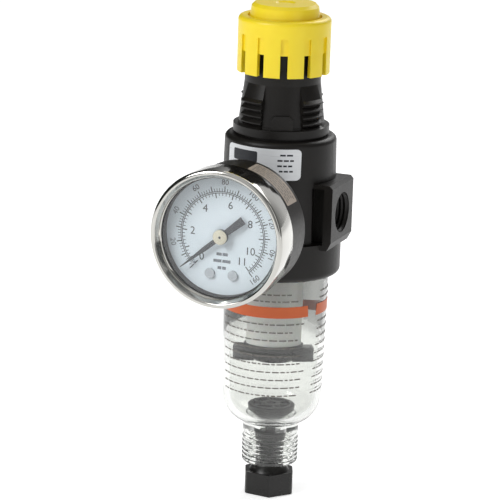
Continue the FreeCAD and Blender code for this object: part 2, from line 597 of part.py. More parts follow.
def make_poppet():
    piece = new_piece("poppet")
    spin(piece, [("0", "WebBottom + 0.3"), ("PoppetStem", "WebBottom + 0.3"),
                 ("PoppetStem", f"{POPPET_TOP} - PoppetHeight"),
                 ("PoppetRadius", f"{POPPET_TOP} - PoppetHeight"), ("PoppetRadius", POPPET_TOP),
                 ("PoppetStem", POPPET_TOP), ("PoppetStem", "PistonBottom - PoppetGap - 0.8"),
                 ("0", "PistonBottom - PoppetGap")])
    return piece


def make_poppet_seal():
    piece = new_piece("poppet_seal")
    spin(piece, [("PoppetStem", POPPET_TOP), ("PoppetRadius - 0.1", POPPET_TOP),
                 ("PoppetRadius - 0.1", "SeatBottom - PoppetGap"),
                 ("PoppetStem", "SeatBottom - PoppetGap")])
    return piece


def make_valve_spring():
    return coil("valve_spring", "ValveCoil", "ValveWire", "GuideFloor",
                f"{POPPET_TOP} - PoppetHeight", "6")


DECK = "(WebBottom - GuideFlangeHeight)"


def make_valve_guide():
    """The cup that guides the poppet, and the windowed tube that carries the filter element."""
    piece = new_piece("valve_guide")
    hole = "PoppetStem + RunningFit"
    bore = "TubeRadius - TubeWall"
    spin(piece, [(hole, "GuideFloor"), ("GuideCup", "GuideFloor"), ("GuideCup", "GuideTop"),
                 ("ValveBore - 0.05", "GuideTop"), ("ValveBore - 0.05", "WebBottom"),
                 ("GuideFlange", "WebBottom"), ("GuideFlange", DECK), ("TubeRadius", DECK),
                 ("TubeRadius", "ElementBottom"), (bore, "ElementBottom"), (bore, "WebBottom"),
                 (hole, "WebBottom")])
    spin(piece, [("0", "BaffleBottom + 0.8"), ("TailRadius", "BaffleBottom + 0.8"),
                 ("TailRadius", "ElementBottom"), ("TubeRadius", "ElementBottom"),
                 ("TubeRadius", "ElementBottom + 1.5"), ("0", "ElementBottom + 1.5")])
    for plane in ("YZ_Plane", "XZ_Plane"):
        extrude(piece, plane, "-TubeRadius - 1", "2 * TubeRadius + 2",
                lambda sketch: draw_outline(sketch, rectangle(
                    "-WindowHalfWidth", "WindowHalfWidth", "ElementBottom + 5", f"{DECK} - 5")),
                cut=True, reverse=True)
    holes = extrude(piece, "XY_Plane", "GuideFloor + 0.5", "3",
                    lambda sketch: draw_circle(sketch, "0.7", f"({bore} + {hole}) / 2"), cut=True)
    repeat(piece, holes, 4)
    return piece


# ---------------------------------------------------------------- filter and bowl

def make_deflector():
    piece = new_piece("deflector")
    spin(piece, [("TubeRadius + 0.05", f"{DECK} - DeflectorHeight"),
                 ("DeflectorRadius", f"{DECK} - DeflectorHeight"), ("DeflectorRadius", DECK),
                 ("TubeRadius + 0.05", DECK)])
    slot = extrude(piece, "XY_Plane", f"{DECK} + 0.5", "DeflectorHeight + 1",
                   lambda sketch: draw_outline(sketch, [
                       ("DeflectorRadius - 4", "0"), ("DeflectorRadius + 0.6", "2.4"),
                       ("DeflectorRadius + 0.6", "4.4"), ("DeflectorRadius - 4", "1.6")]), cut=True)
    repeat(piece, slot, "VaneCount")
    return piece


def make_filter_element():
    piece = new_piece("filter_element")
    inner = "ElementRadius - ElementWall"
    top = f"{DECK} - DeflectorHeight"
    spin(piece, [(inner, "ElementBottom"), ("ElementRadius", "ElementBottom"), ("ElementRadius", top),
                 (inner, top)])
    return piece


def make_baffle():
    """The plate under the element, with two wings that calm the swirl, and a threaded hub."""
    piece = new_piece("baffle")
    bore = "TailRadius + 0.05"
    plate = "(ElementBottom - BafflePlate)"
    spin(piece, [(bore, "BaffleBottom"), ("BaffleHub - 0.8", "BaffleBottom"),
                 ("BaffleHub", "BaffleBottom + 0.8"), ("BaffleHub", plate), ("BaffleRadius", plate),
                 ("BaffleRadius", "ElementBottom"), (bore, "ElementBottom")])
    wings = [("BaffleHub - 1", "WingRadius"), ("-WingRadius", "1 - BaffleHub")]
    for inner, outer in wings:
        extrude(piece, "XY_Plane", "BaffleBottom", f"{plate} - BaffleBottom + 0.2",
                lambda sketch: draw_outline(sketch, rectangle(
                    inner, outer, "-WingWidth / 2", "WingWidth / 2")), aim="BonnetAim")
    return piece


BOWL_FLOOR = "(BowlBottom + BowlWall)"


def make_bowl():
    piece = new_piece("bowl")
    thread = "BowlBore - ScrewFit"
    spin(piece, [("0", "BowlBottom"), ("BowlFootRadius", "BowlBottom"),
                 ("BowlFootRadius", "BowlBottom + BowlBottomRound"), ("BowlTopRadius", "CollarBottom - 0.2"),
                 (thread, "CollarBottom + 0.8"), (thread, "BowlRim"), ("0", "BowlRim")])
    soften(piece, "BowlBottomRound - 0.05", circle_at("BowlFootRadius", "BowlBottom"))
    spin(piece, [("0", "NeckBottom"), ("NeckOuter", "NeckBottom"), ("NeckOuter", "BowlBottom + 2"),
                 ("0", "BowlBottom + 2")])
    soften(piece, "NeckRound", circle_at("NeckOuter", "NeckBottom"))
    curve = arc_corners("BowlFootRadius - BowlBottomRound", "BowlBottom + BowlBottomRound",
                        "BowlBottomRound - BowlWall", 90, 0, 8)
    spin(piece, [("0", BOWL_FLOOR)] + curve +
         [("BowlTopRadius - BowlWall", "CollarBottom"), ("BowlTopRadius - BowlWall", "BowlRim + 1"),
          ("0", "BowlRim + 1")], cut=True)
    spin(piece, [("0", "NeckBottom - 1"), ("NeckBore", "NeckBottom - 1"), ("NeckBore", "NeckRoof"),
                 ("DrainBore", "NeckRoof"), ("DrainBore", f"{BOWL_FLOOR} + 1"),
                 ("0", f"{BOWL_FLOOR} + 1")], cut=True)
    return piece


# ---------------------------------------------------------------- drain

def make_drain_plunger():
    """A ribbed disc over the drain hole, keyed so that the spindle lifts it."""
    piece = new_piece("drain_plunger")
    low = "(PlungerTop - PlungerHeight)"
    spin(piece, [("SpindleRadius + RunningFit", low), ("PlungerRadius", low),
                 ("PlungerRadius", "PlungerTop - 0.4"), ("PlungerRadius - 0.4", "PlungerTop"),
                 ("PlungerRadius - 1.6", "PlungerTop"), ("PlungerRadius - 1.6", "PlungerTop - 1"),
                 ("SpindleRadius + 1.6", "PlungerTop - 1"), ("SpindleRadius + 1.6", "PlungerTop"),
                 ("SpindleRadius + RunningFit", "PlungerTop")])
    rib = extrude(piece, "XY_Plane", "PlungerTop - 1.2", "1.2", lambda sketch: draw_outline(
        sketch, rectangle("SpindleRadius + 1", "PlungerRadius - 1", "-0.4", "0.4")))
    repeat(piece, rib, 6)
    return piece


def make_drain_seal():
    piece = new_piece("drain_seal")
    low = f"{BOWL_FLOOR} + 0.02"
    spin(piece, [("DrainBore + 0.4", low), ("PlungerRadius - 1.5", low),
                 ("PlungerRadius - 1.5", "PlungerTop - PlungerHeight"),
                 ("DrainBore + 0.4", "PlungerTop - PlungerHeight")])
    return piece


def make_drain_knob():
    """The finger knob under the bowl, with its stem and the spindle that works the plunger."""
    piece = new_piece("drain_knob")
    spin(piece, [("0", "DrainTop"), ("StemRadius + 2.2", "DrainTop"), ("StemRadius + 1.4", "DrainTop + 1.2"),
                 ("StemRadius", "NeckBottom - 0.6"), ("StemRadius", "NeckRoof - 6"),
                 ("StemRadius + 0.7", "NeckRoof - 0.4"), ("SpindleRadius", "NeckRoof - 0.4"),
                 ("SpindleRadius", "PlungerTop - 0.5"), ("0", "PlungerTop - 0.5")])
    extrude(piece, "XY_Plane", "DrainBottom", "DrainTop - DrainBottom + 0.1",
            lambda sketch: draw_outline(sketch, [
                ("0", "-DrainReach"), ("DrainHalfWidth", "-DrainReach * 0.45"),
                ("DrainHalfWidth", "DrainReach * 0.45"), ("0", "DrainReach"),
                ("-DrainHalfWidth", "DrainReach * 0.45"), ("-DrainHalfWidth", "-DrainReach * 0.45")]),
            aim="DrainAim")
    soften(piece, "DrainRound", lambda edge: isinstance(edge.Curve, Part.Line)
           and abs(edge.Length - amount("DrainTop - DrainBottom + 0.1")) < 0.01
           and abs(edge.CenterOfMass.x * math.sin(math.radians(amount("DrainAim")))
                   - edge.CenterOfMass.y * math.cos(math.radians(amount("DrainAim"))))
           < amount("DrainReach") - 0.5)
    return piece


# ---------------------------------------------------------------- gauge

def spin_gauge(piece, corners, cut=False):
    """Material turned about the gauge's axis: corners are (radius, distance from the main axis)."""
    return spin(piece, [(radius, f"-({reach})") for radius, reach in corners], role="XY_Plane", cut=cut)


def make_gauge_socket():
    """Brass: the pipe stem, the hexagon for a spanner and the block inside the case."""
    piece = new_piece("gauge_socket")
    tip = "(GaugePortFace - SocketReach)"
    spin_gauge(piece, [("SenseRadius", tip), ("SocketRadius", tip), ("SocketRadius", "CaseBack - 1"),
                       ("SocketRadius + 0.8", "CaseBack - 1"), ("SocketRadius + 0.8", "CaseBack"),
                       ("SocketRadius - 0.3", "CaseBack"), ("SocketRadius - 0.3", "CaseBack + 3"),
                       ("SenseRadius", "CaseBack + 3")])
    extrude(piece, "XZ_Plane", "GaugePortFace + 1", "CaseBack - GaugePortFace - 3.5",
            lambda sketch: draw_outline(sketch, hexagon("SocketHex")))
    extrude(piece, "XZ_Plane", "CaseBack + 2", "5.6", lambda sketch: draw_outline(
        sketch, rectangle("-4", "4", "-7", "2.5")))
    return piece


def make_gauge_case():
    piece = new_piece("gauge_case")
    spin_gauge(piece, [("SocketRadius - 0.2", "CaseBack"), ("CaseRadius - 1.2", "CaseBack"),
                       ("CaseRadius", "CaseBack + 1.2"), ("CaseRadius", "CaseFront"),
                       ("CaseRadius - CaseWall", "CaseFront"), ("CaseRadius - CaseWall", "CaseBack + 1.6"),
                       ("CaseRadius - CaseWall - 0.8", "CaseBack + CaseWall"),
                       ("SocketRadius - 0.2", "CaseBack + CaseWall")])
    return piece


def make_bezel():
    """A polished ring with a rounded lip, snapped over the case."""
    piece = new_piece("bezel")
    inner = "CaseRadius + 0.1"
    lip = "LensBack + LensThickness"
    spin_gauge(piece, [(inner, "BezelBack"), ("BezelRadius - 0.5", "BezelBack"),
                       ("BezelRadius", "BezelBack + 0.6"), ("BezelRadius", "BezelFront - 1.1"),
                       ("BezelRadius - 0.3", "BezelFront - 0.3"), ("BezelRadius - 0.9", "BezelFront"),
                       ("BezelRadius - 1.4", "BezelFront - 0.5"), ("BezelOpening + 0.6", f"{lip} + 0.7"),
                       ("BezelOpening", lip), (inner, lip)])
    return piece


def make_lens():
    piece = new_piece("lens")
    front = "LensBack + LensThickness"
    spin_gauge(piece, [("0", "LensBack"), ("LensRadius", "LensBack"), ("LensRadius", front), ("0", front)])
    return piece


def make_lens_gasket():
    piece = new_piece("lens_gasket")
    spin_gauge(piece, [("LensRadius - GasketWidth", "DialPlane"), ("LensRadius - 0.1", "DialPlane"),
                       ("LensRadius - 0.1", "LensBack"), ("LensRadius - GasketWidth", "LensBack")])
    return piece


def make_dial():
    piece = new_piece("dial")
    spin_gauge(piece, [("ArborRadius + 0.6", "DialPlane - DialThickness"),
                       ("DialRadius", "DialPlane - DialThickness"), ("DialRadius", "DialPlane"),
                       ("ArborRadius + 0.6", "DialPlane")])
    return piece


def make_dial_screws():
    """Two domed screws that hold the dial to the movement."""
    piece = new_piece("dial_screws")
    for across, up in (("-3.9", "-12.4"), ("3.9", "-12.4")):
        extrude(piece, "XZ_Plane", "DialPlane", "0.7",
                lambda sketch: draw_circle(sketch, "ScrewHead", across, up))
    return piece


def make_stop_pin():
    piece = new_piece("stop_pin")
    extrude(piece, "XZ_Plane", "DialPlane", "PointerGap + PointerThickness",
            lambda sketch: draw_circle(sketch, "0.45", "-9.4", "-9.6"))
    return piece


def make_pointer():
    """A tapered needle with a broad tail, lying on its zero mark."""
    piece = new_piece("pointer")
    start = "DialPlane + PointerGap"
    turn = "180 + PointerAngle"
    sketch = new_sketch(piece, "XZ_Plane", offset=start)
    needle = [("PointerLength", "0.12"), ("7", "0.75"), ("0", "0.8"), ("-3", "1.0"),
              ("-PointerTail", "1.35"), ("-PointerTail", "-1.35"), ("-3", "-1.0"), ("0", "-0.8"),
              ("7", "-0.75"), ("PointerLength", "-0.12")]
    corners = [(f"({along}) * cos({turn}) - ({side}) * sin({turn})",
                f"({along}) * sin({turn}) + ({side}) * cos({turn})") for along, side in needle]
    draw_outline(sketch, corners)
    blade = piece.newObject("PartDesign::Pad", "pointer_pad")
    blade.Profile = sketch
    blade.setExpression("Length", bound("PointerThickness"))
    extrude(piece, "XZ_Plane", start, "PointerThickness + 0.8", lambda hub: draw_circle(hub, "HubDisc"))
    return piece


MESH_PLANE = "(DialPlane - DialThickness - 4.4)"


def make_pinion():
    """The arbor that carries the pointer, with its pinion at the sector's level."""
    piece = new_piece("pinion")
    spin_gauge(piece, [("0", f"{MESH_PLANE} - 3.2"), ("ArborRadius", f"{MESH_PLANE} - 3.2"),
                       ("ArborRadius", f"{MESH_PLANE} - 1"), ("PinionRadius", f"{MESH_PLANE} - 1"),
                       ("PinionRadius", f"{MESH_PLANE} + 1"), ("ArborRadius", f"{MESH_PLANE} + 1"),
                       ("ArborRadius", "DialPlane + PointerGap"), ("0", "DialPlane + PointerGap")])
    return piece


SECTOR_PIVOT = "(SectorRadius + PinionRadius + 0.05)"


def make_sector():
    """The sector that turns the pinion, pivoted to the right of it, with a short tail for the link."""
    piece = new_piece("sector")
    inner, outer = "SectorRadius - 2.2", "SectorRadius"
    steps = (-27, -13.5, 0, 13.5, 27)
    rim = [(f"{SECTOR_PIVOT} - ({outer}) * cos({step})", f"({outer}) * sin({step})") for step in steps]
    back = [(f"{SECTOR_PIVOT} - ({inner}) * cos({step})", f"({inner}) * sin({step})")
            for step in reversed(steps) if step]
    spokes = [(f"{SECTOR_PIVOT}", "1.3"), (f"{SECTOR_PIVOT} + 3.6", "1.0"),
              (f"{SECTOR_PIVOT} + 3.6", "-1.0"), (f"{SECTOR_PIVOT}", "-1.3")]
    extrude(piece, "XZ_Plane", f"{MESH_PLANE} - 0.5", "1",
            lambda sketch: draw_outline(sketch, rim + back[:2] + spokes + back[2:]))
    extrude(piece, "XZ_Plane", f"{MESH_PLANE} - 2.4", "4.8",
            lambda sketch: draw_circle(sketch, "ArborRadius", SECTOR_PIVOT))
    return piece


def make_movement_frame():
    """Two plates on four pillars that carry the arbors."""
    piece = new_piece("movement_frame")
    left, right = "-3.4", f"{SECTOR_PIVOT} + 1.9"
    for start in (f"{MESH_PLANE} - 3.4", f"{MESH_PLANE} + 2.6"):
        extrude(piece, "XZ_Plane", start, "PlateThick",
                lambda sketch: draw_outline(sketch, rectangle(left, right, "-7", "7")))
    for across in (f"{left} + 1", f"{right} - 1"):
        for up in ("-6", "6"):
            extrude(piece, "XZ_Plane", f"{MESH_PLANE} - 3", "6",
                    lambda sketch: draw_circle(sketch, "0.8", across, up))
    for across in ("0", SECTOR_PIVOT):
        extrude(piece, "XZ_Plane", f"{MESH_PLANE} - 4", "8", lambda sketch: draw_circle(
            sketch, "ArborRadius + RunningFit", across), cut=True, reverse=True)
    return piece


def make_bourdon_tube():
    """The flattened tube, bent to most of a circle, that uncurls as the pressure rises."""
    piece = new_piece("bourdon_tube")
    sketch = new_sketch(piece, "XY_Plane")
    middle = "(CaseBack + 4.9)"
    draw_outline(sketch, rectangle("TubeBend - TubeThick / 2", "TubeBend + TubeThick / 2",
                                   f"-{middle} - TubeWidth / 2", f"-{middle} + TubeWidth / 2"))
    bend = piece.newObject("PartDesign::Revolution", "bourdon_bend")
    bend.Profile = sketch
    bend.ReferenceAxis = (sketch, ["V_Axis"])
    bend.Angle = 250
    piece.Placement = FreeCAD.Placement(FreeCAD.Vector(), FreeCAD.Rotation(FreeCAD.Vector(0, 1, 0), 100))
    return piece


MAKERS = [
    make_body, make_nameplate, make_rear_plug, make_bonnet, make_knob, make_knob_cap,
    make_adjusting_screw, make_spring_rest, make_control_spring, make_piston,
    make_valve_seat, make_poppet, make_poppet_seal, make_valve_spring, make_valve_guide,
    make_deflector, make_filter_element, make_baffle, make_bowl,
    make_drain_plunger, make_drain_seal, make_drain_knob,
    make_gauge_socket, make_gauge_case, make_bezel, make_lens, make_lens_gasket, make_dial,
    make_dial_screws, make_stop_pin, make_pointer, make_pinion, make_sector, make_movement_frame,
    make_bourdon_tube,
]

pieces = [make() for make in MAKERS]
pieces.append(seal_ring("piston_seal", "PistonBore - SealWire - 0.01", "PistonBottom + PistonHeight / 2",
                        "SealWire - 0.02"))
pieces.append(seal_ring("bowl_seal", "BowlSealRadius", "(WebBottom + BowlRim) / 2",
                        "(WebBottom - BowlRim) / 2"))
doc.recompute()

faults = [item.Name for item in doc.Objects if "Invalid" in item.State or "Error" in item.State]
faults += [piece.Label for piece in pieces if piece.Shape.isNull() or not piece.Shape.isValid()]
if faults:
    raise RuntimeError(f"these objects failed: {faults}")

os.makedirs("parts", exist_ok=True)
for piece in pieces:
    piece.Shape.exportStep(f"parts/{piece.Label}.step")
print(len(pieces), "pieces written")
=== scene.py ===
"""A miniature filter-regulator for compressed air, with its pressure gauge, as it looks.

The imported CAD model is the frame. Its nodes keep their shapes and get finishes here. The clear
bowl, the bezel, the nameplate and everything printed are made here, in the places the frame gives.
The main axis is Z, the ports lie on X, and the gauge faces -Y.
"""
import math
import random

import bmesh
import bpy
from mathutils import Matrix, Vector


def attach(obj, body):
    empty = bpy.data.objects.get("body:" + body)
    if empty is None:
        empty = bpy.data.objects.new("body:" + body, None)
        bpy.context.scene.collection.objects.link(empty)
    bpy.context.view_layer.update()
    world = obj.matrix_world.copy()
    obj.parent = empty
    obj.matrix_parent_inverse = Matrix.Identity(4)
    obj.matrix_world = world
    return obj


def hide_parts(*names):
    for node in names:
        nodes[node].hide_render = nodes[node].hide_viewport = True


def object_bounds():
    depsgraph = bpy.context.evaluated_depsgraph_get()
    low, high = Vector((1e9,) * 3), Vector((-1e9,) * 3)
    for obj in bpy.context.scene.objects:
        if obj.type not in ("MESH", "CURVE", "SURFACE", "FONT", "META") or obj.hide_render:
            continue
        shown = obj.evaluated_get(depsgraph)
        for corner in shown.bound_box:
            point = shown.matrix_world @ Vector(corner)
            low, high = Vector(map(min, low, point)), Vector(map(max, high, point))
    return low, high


MM = 0.001
TURN = 2 * math.pi

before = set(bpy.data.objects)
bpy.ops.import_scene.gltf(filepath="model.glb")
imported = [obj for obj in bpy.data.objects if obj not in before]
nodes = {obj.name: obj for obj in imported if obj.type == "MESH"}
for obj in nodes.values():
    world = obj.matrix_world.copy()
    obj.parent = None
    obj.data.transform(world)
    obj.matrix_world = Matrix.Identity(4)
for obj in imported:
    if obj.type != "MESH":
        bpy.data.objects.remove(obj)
cad_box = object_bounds()


# ---------------------------------------------------------------- camera and lights

def look_from(azimuth, elevation, distance, lean, across, up):
    """A camera frame: where it stands, how far it leans, and the point of the object it aims at."""
    a, e, r = math.radians(azimuth), math.radians(elevation), math.radians(lean)
    back = Vector((math.sin(a) * math.cos(e), -math.cos(a) * math.cos(e), math.sin(e)))
    level = Vector((math.cos(a), math.sin(a), 0))
    plumb = back.cross(level)
    right = level * math.cos(r) + plumb * math.sin(r)
    over = plumb * math.cos(r) - level * math.sin(r)
    place = back * distance
    away = (place - right * across - over * up).normalized()
    right = over.cross(away).normalized()
    over = away.cross(right)
    turn = Matrix((right, over, away)).transposed().to_4x4()
    return Matrix.Translation(place) @ turn


camera = bpy.data.objects.new("camera", bpy.data.cameras.new("camera"))
camera.data.lens = 226.85
camera.data.clip_start = 0.05
camera.matrix_world = look_from(azimuth=20.4, elevation=13.2, distance=1.033, lean=2.04,
                                across=-9.31 * MM, up=-14.98 * MM)
bpy.context.scene.collection.objects.link(camera)
bpy.context.scene.camera = camera


def softbox(name, place, aim, size, power):
    """A rectangular soft light: where it is, what it faces, its size in metres and its watts."""
    light = bpy.data.lights.new(name, "AREA")
    light.shape = "RECTANGLE"
    light.size, light.size_y = size
    light.energy = power
    holder = bpy.data.objects.new(name, light)
    facing = (Vector(aim) - Vector(place)).to_track_quat("-Z", "Y")
    holder.matrix_world = Matrix.Translation(place) @ facing.to_matrix().to_4x4()
    bpy.context.scene.collection.objects.link(holder)


softbox("key_light", (-0.55, -0.75, 0.70), (0, 0, 0), (0.45, 0.60), 6.5)
softbox("fill_light", (0.85, -0.45, 0.25), (0, 0, -0.02), (0.35, 0.80), 0.7)
softbox("back_light", (0.10, 0.80, 0.60), (0, 0, 0), (0.80, 0.50), 4.0)


# ---------------------------------------------------------------- finishes

def linear(hex_colour):
    """An sRGB hex colour as linear RGBA."""
    parts = [int(hex_colour[i:i + 2], 16) / 255 for i in (1, 3, 5)]
    return [p / 12.92 if p <= 0.04045 else ((p + 0.055) / 1.055) ** 2.4 for p in parts] + [1.0]


def add(tree, kind, settings=(), **links):
    """Adds a shader node with its settings, by property or socket, and its links.

    A link names its socket by words joined with _, or by _ and a number.
    """
    node = tree.nodes.new("ShaderNode" + kind)
    for key, value in dict(settings).items():
        if isinstance(key, str) and key in node.bl_rna.properties:
            setattr(node, key, value)
        else:
            node.inputs[key].default_value = value
    for key, source in links.items():
        socket = int(key[1:]) if key[0] == "_" else key.replace("_", " ")
        tree.links.new(source, node.inputs[socket])
    return node


DRIFT_DETAIL, GRAIN_DETAIL = 3.0, 2.0
NOISE_LOW, NOISE_HIGH = 0.3, 0.7  # nearly all of a noise pattern's values lie between these


def finish(name, light, dark, rough, patch=6.0, grain=0.7, height=0.01, stretch=(1, 1, 1),
           **sockets):
    """A finish whose colour drifts between two hex colours over patches, with a grain raised on it.

    rough is its lowest and highest roughness. patch, grain and height are in millimetres, and
    stretch draws the pattern out along an axis with a small number there.
    """
    material = bpy.data.materials.new(name)
    material.use_nodes = True
    tree = material.node_tree
    surface = tree.nodes["Principled BSDF"]
    place = add(tree, "TexCoord").outputs["Object"]
    drawn = add(tree, "Mapping", {"Scale": stretch}, Vector=place).outputs["Vector"]
    drift = add(tree, "TexNoise", {"Scale": 1 / (patch * MM), "Detail": DRIFT_DETAIL},
                Vector=drawn)
    shade = add(tree, "Mix", {"data_type": "RGBA", 6: linear(dark), 7: linear(light)},
                _0=drift.outputs["Fac"])
    tree.links.new(shade.outputs[2], surface.inputs["Base Color"])
    texture = add(tree, "TexNoise", {"Scale": 1 / (grain * MM), "Detail": GRAIN_DETAIL},
                  Vector=drawn)
    gloss = add(tree, "MapRange", {1: NOISE_LOW, 2: NOISE_HIGH, 3: rough[0], 4: rough[1]},
                _0=texture.outputs["Fac"])
    tree.links.new(gloss.outputs[0], surface.inputs["Roughness"])
    relief = add(tree, "Bump", {"Strength": 1.0, "Distance": height * MM},
                 Height=texture.outputs["Fac"])
    tree.links.new(relief.outputs["Normal"], surface.inputs["Normal"])
    for socket, value in sockets.items():
        surface.inputs[socket.replace("_", " ")].default_value = value
    return material


def let_lamps_through(material, passed):
    """Makes clear plastic or glass pass lamp light straight on, tinted by the hex colour passed."""
    tree = material.node_tree
    surface, out = tree.nodes["Principled BSDF"], tree.nodes["Material Output"]
    straight = add(tree, "BsdfTransparent", {"Color": linear(passed)}).outputs[0]
    lamp_ray = add(tree, "LightPath").outputs["Is Shadow Ray"]
    both = add(tree, "MixShader", _0=lamp_ray, _1=surface.outputs[0], _2=straight)
    tree.links.new(both.outputs[0], out.inputs["Surface"])
    return material


# Glass-filled nylon, moulded in a spark-eroded tool: near black and satin, with a broad soft
# highlight. The real grain is 0.1 mm; it is drawn at 0.5 mm so that it shows.
black_nylon = finish("glass_filled_nylon", "#1D1B19", "#141210", (0.34, 0.44),
                     patch=9, grain=0.5, height=0.012, Specular_IOR_Level=0.26)
# The same resin in smooth tools, for the baffle, deflector and drain: a little glossier.
smooth_nylon = finish("smooth_black_acetal", "#191817", "#121110", (0.27, 0.33),
                      patch=5, grain=0.9, height=0.003, Specular_IOR_Level=0.35)
# Acetal, moulded yellow: slightly waxy, so light bleeds a little into it and edges stay soft.
yellow_acetal = finish("yellow_acetal", "#FCE42C", "#F4D61D", (0.30, 0.42), patch=7, grain=0.6,
                       height=0.008, Subsurface_Weight=0.12, Subsurface_Scale=0.0012,
                       Subsurface_Radius=(1.0, 0.7, 0.2))
# Sintered polyethylene beads: chalk white and quite matt, with a fine pebbled skin of 0.2 mm beads,
# drawn at 0.6 mm.
porous_media = finish("sintered_polyethylene", "#FCFCFA", "#F0F0EC", (0.75, 0.95), patch=1.6,
                      grain=0.6, height=0.05, Subsurface_Weight=0.15, Subsurface_Scale=0.001)
# Acetal, natural: milky white, smooth and slightly greasy to the eye.
white_acetal = finish("white_acetal", "#EDEDE8", "#E0DFD9", (0.35, 0.48), patch=5, height=0.006)
# Nitrile rubber, moulded: dull charcoal with a dusty bloom.
nitrile = finish("nitrile_rubber", "#26262A", "#18181A", (0.62, 0.80), patch=3, grain=0.5,
                 height=0.01)
# Brass turned on Z or on the gauge's axis: warm yellow metal with fine tool rings.
turned_brass = finish("turned_brass", "#D9B56A", "#B98F45", (0.22, 0.38), patch=2, grain=0.5,
                      height=0.006, stretch=(0.06, 0.06, 1), Metallic=1.0)
# Zinc-plated steel: bluish grey, lightly clouded by the plating bath.
plated_steel = finish("zinc_plated_steel", "#C3C7CB", "#9FA4AA", (0.26, 0.44), patch=2.5,
                      grain=0.5, height=0.006, Metallic=1.0)
# Music wire, drawn and oiled: dark grey metal with lengthwise die lines.
spring_wire = finish("drawn_spring_wire", "#8D8C89", "#605F5D", (0.28, 0.46), patch=1.5,
                     grain=0.5, height=0.005, Metallic=1.0)
# Deep-drawn steel case, painted: dark warm grey, half gloss, slightly orange-peeled.
painted_steel = finish("painted_case_steel", "#262421", "#1D1B19", (0.30, 0.40), patch=5,
                       grain=1.2, height=0.01, Specular_IOR_Level=0.3)
# Polished nickel-chrome over steel: a mirror with a little haze and a fine buffing line.
bright_chrome = finish("polished_chrome", "#CFCEC9", "#BAB9B4", (0.05, 0.12), patch=6, grain=0.8,
                       height=0.0012, stretch=(0.15, 1, 0.15), Metallic=1.0)
# White-enamelled aluminium: a cool eggshell white, faintly mottled by the spray.
enamelled_dial = finish("white_enamelled_aluminium", "#E4ECF2", "#DBE4EB", (0.40, 0.52), patch=8,
                        grain=0.9, height=0.003)
# Screen-printed ink: flat black with a slightly uneven lay-down.
dial_ink = finish("black_screen_ink", "#2A2D33", "#1C1E23", (0.45, 0.6), patch=1.0, height=0.002)
# The same ink worn or thinly laid: mid grey, so small figures sink back into the white.
pale_ink = finish("worn_screen_ink", "#7E838B", "#5E636B", (0.45, 0.6), patch=1.0, height=0.002)
# Baked enamel on the pointer: charcoal, smoother than the ink, so it stands off the dial.
pointer_paint = finish("pointer_enamel", "#3A3C42", "#2A2C31", (0.32, 0.42), patch=2, height=0.003)
# Cream acetal: warm and slightly waxy, so that the hub reads as a soft button on a cold dial.
hub_cream = finish("cream_acetal", "#DDD6C2", "#CBC3AD", (0.30, 0.42), patch=1.5, height=0.003)
# Satin aluminium foil: pale grey with a cool sheen and a level brush line 0.1 mm wide, drawn at
# 0.5 mm.
brushed_foil = finish("brushed_aluminium_foil", "#E6E8EA", "#D6D9DC", (0.26, 0.42), patch=1.2,
                      grain=0.5, height=0.006, stretch=(0.05, 0.05, 1), Metallic=0.1)
# Uncoated label paper: matt, beige and slightly pink, with soft fibre clouds.
label_paper = finish("beige_label_paper", "#BDB1A4", "#A99C90", (0.6, 0.75), patch=1.5,
                     height=0.01)
# Printed band on the bowl: orange ink on clear film, even and half gloss.
orange_ink = finish("orange_film_ink", "#CE5F22", "#BF541C", (0.34, 0.46), patch=4, height=0.003)
# Print on film and paper: mid grey and thin, so rows of it read as a light texture.
grey_ink = finish("grey_film_ink", "#7C7872", "#68655F", (0.4, 0.55), patch=1.2, height=0.002)

# Clear polycarbonate, moulded: bends what is behind it and has a faint grey cast and flow marks.
clear_bowl = let_lamps_through(
    finish("clear_polycarbonate", "#EDEEEB", "#E2E4E1", (0.02, 0.05), patch=12, grain=3.0,
           height=0.01, Transmission_Weight=1.0, IOR=1.58), "#F3F4F3")
# Acrylic window of the gauge: as clear as glass, with a soft surface ripple.
clear_window = let_lamps_through(
    finish("clear_acrylic", "#FBFCFC", "#F5F7F7", (0.0, 0.02), patch=20, grain=6.0, height=0.002,
           Transmission_Weight=1.0, IOR=1.49), "#F4F6F6")

# Which of the model's nodes wear which finish.
BY_NODE = {
    black_nylon: ("body", "bonnet"),
    smooth_nylon: ("baffle", "deflector", "drain_plunger", "drain_knob", "valve_guide"),
    yellow_acetal: ("adjusting_knob", "knob_cap"),
    white_acetal: ("piston", "spring_rest"),
    porous_media: ("filter_element",),
    nitrile: ("piston_seal", "poppet_seal", "bowl_seal", "drain_seal", "lens_gasket"),
    turned_brass: ("valve_seat", "poppet", "gauge_socket", "pinion", "sector", "bourdon_tube"),
    plated_steel: ("adjusting_screw", "rear_port_plug", "dial_screws", "stop_pin",
                   "movement_frame"),
    spring_wire: ("control_spring", "valve_spring"),
    painted_steel: ("gauge_case",),
    enamelled_dial: ("dial",),
    pointer_paint: ("pointer",),
    clear_window: ("lens",),
    bright_chrome: ("bezel",),
    brushed_foil: ("nameplate",),
    clear_bowl: ("bowl",),
}
for material, names in BY_NODE.items():
    for name in names:
        node = nodes[name]
        for place in node.material_slots:
            place.material = material


# ---------------------------------------------------------------- shaping

def settle(name, shape, body, material, sharp=35):
    """Makes a finished piece of a bmesh, smooth-shaded except over sharp angles."""
    bmesh.ops.remove_doubles(shape, verts=shape.verts, dist=1e-7)
    bmesh.ops.recalc_face_normals(shape, faces=shape.faces)
    mesh = bpy.data.meshes.new(name)
    shape.to_mesh(mesh)
    shape.free()
    mesh.materials.append(material)
    mesh.shade_smooth()
    mesh.set_sharp_from_angle(angle=math.radians(sharp))
    piece = bpy.data.objects.new(name, mesh)
    bpy.context.scene.collection.objects.link(piece)
    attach(piece, body)
    return piece


